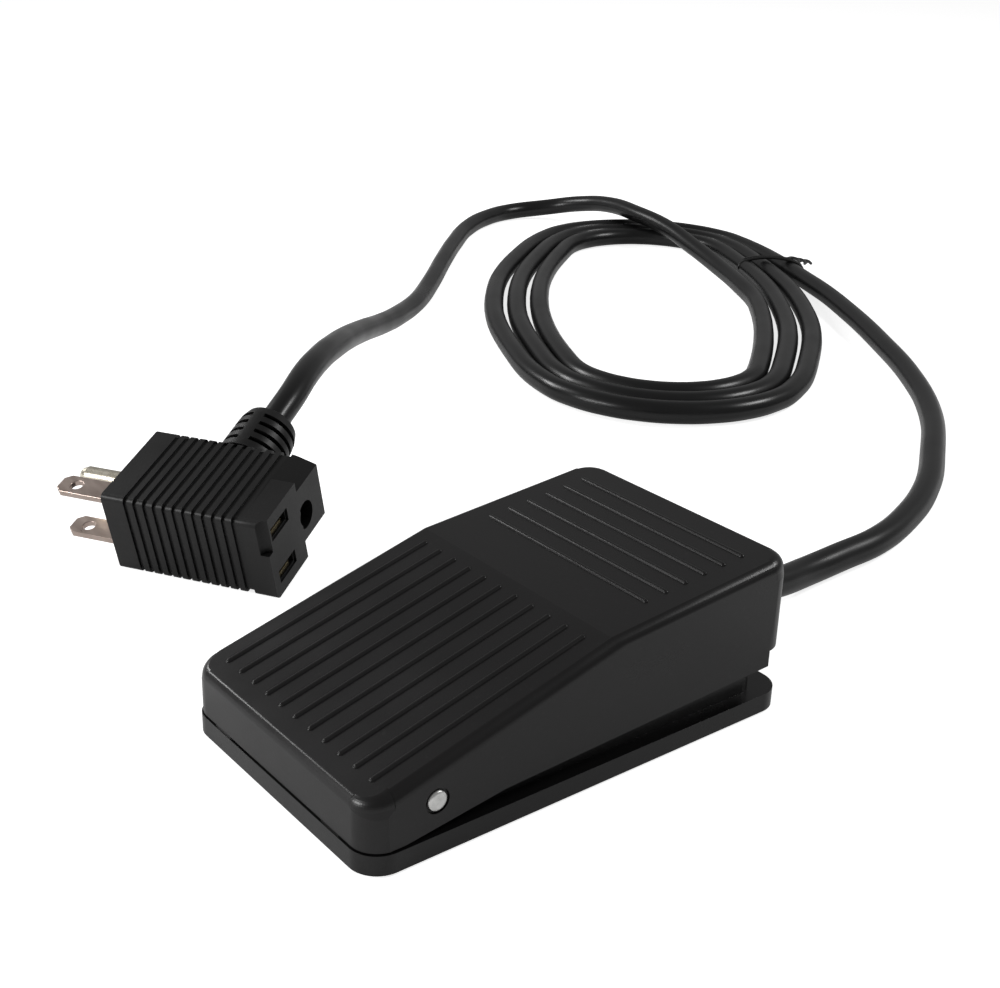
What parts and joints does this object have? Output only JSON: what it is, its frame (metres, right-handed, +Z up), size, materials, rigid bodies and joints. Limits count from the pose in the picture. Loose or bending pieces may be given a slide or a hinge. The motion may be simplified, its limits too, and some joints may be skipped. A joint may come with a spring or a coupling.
{
  "type": "foot switch",
  "caption": "Hinged ribbed treadle over a moulded base with a snap switch inside; its mains lead lies in a loose coil and ends in a pass-through plug.",
  "frame": {"origin": "on the floor under the middle of the base's outline", "axes": "+X to the right side, +Y from the low toe to the high heel where the cord leaves, +Z up"},
  "size_m": [0.3927, 0.4013, 0.0378],
  "materials": {
    "base_plastic": "black moulded ABS, fine satin",
    "cover_plastic": "black moulded ABS, satin with fine-grained tread panels",
    "feet_rubber": "black rubber",
    "pin_steel": "turned steel, bright end faces",
    "clip_steel": "spring steel, phosphated",
    "spring_steel": "music wire, zinc plated",
    "switch_plastic": "black phenolic",
    "terminal_brass": "tinned brass",
    "screw_steel": "zinc-plated steel",
    "plunger_plastic": "red acetal",
    "lever_steel": "stainless strip",
    "clamp_plastic": "black nylon",
    "wire_black": "PVC insulation",
    "wire_white": "PVC insulation",
    "sleeve_plastic": "vinyl-insulated push-on sleeves",
    "boot_rubber": "moulded soft PVC",
    "cord_jacket": "smooth black PVC jacket",
    "tie_wire": "coated wire tie",
    "plug_vinyl": "moulded black PVC",
    "blade_metal": "nickel-plated brass",
    "ground_metal": "nickel-plated brass",
    "contact_brass": "phosphor bronze"
  },
  "bodies": {
    "housing": {"base": "base_plastic", "rubber_feet": "feet_rubber", "pivot_pin": "pin_steel", "pin_clips": "clip_steel", "spring_left": "spring_steel", "spring_right": "spring_steel", "switch_case": "switch_plastic", "switch_cover": "switch_plastic", "switch_terminals": "terminal_brass", "switch_screws": "screw_steel", "cord_clamp": "clamp_plastic", "clamp_screws": "screw_steel", "wire_live": "wire_black", "wire_load": "wire_white", "wire_sleeves": "sleeve_plastic", "cord_boot": "boot_rubber", "cord_lead": "cord_jacket", "cord_coil": "cord_jacket", "cord_tail": "cord_jacket", "cord_tie": "tie_wire", "plug_body": "plug_vinyl", "plug_boot": "plug_vinyl", "plug_blades": "blade_metal", "plug_ground_pin": "ground_metal", "socket_contacts": "contact_brass"},
    "pedal": {"treadle": "cover_plastic"},
    "lever": {"switch_lever": "lever_steel"},
    "plunger": {"switch_plunger": "plunger_plastic"}
  },
  "joints": [
    {"name": "pedal_hinge", "type": "hinge", "parent": "housing", "child": "pedal", "pos_m": [0, -0.0372, 0.0114], "axis": [-1, 0, 0], "range_deg": [0, 4], "stiffness_Nm_per_rad": 6, "springref_deg": -6.88, "deforming": ["spring_left", "spring_right"]},
    {"name": "lever_hinge", "type": "hinge", "parent": "housing", "child": "lever", "pos_m": [0, -0.013, 0.0201], "axis": [-1, 0, 0], "range_deg": [0, 8.6]},
    {"name": "plunger_slide", "type": "slide", "parent": "housing", "child": "plunger", "axis": [0, 0, -1], "range_m": [0, 0.0012]}
  ],
  "couplings": [
    {"joint": "lever_hinge", "follows": "pedal_hinge", "ratio": 2.0522},
    {"joint": "plunger_slide", "follows": "pedal_hinge", "m_per_rad": 0.01452}
  ]
}
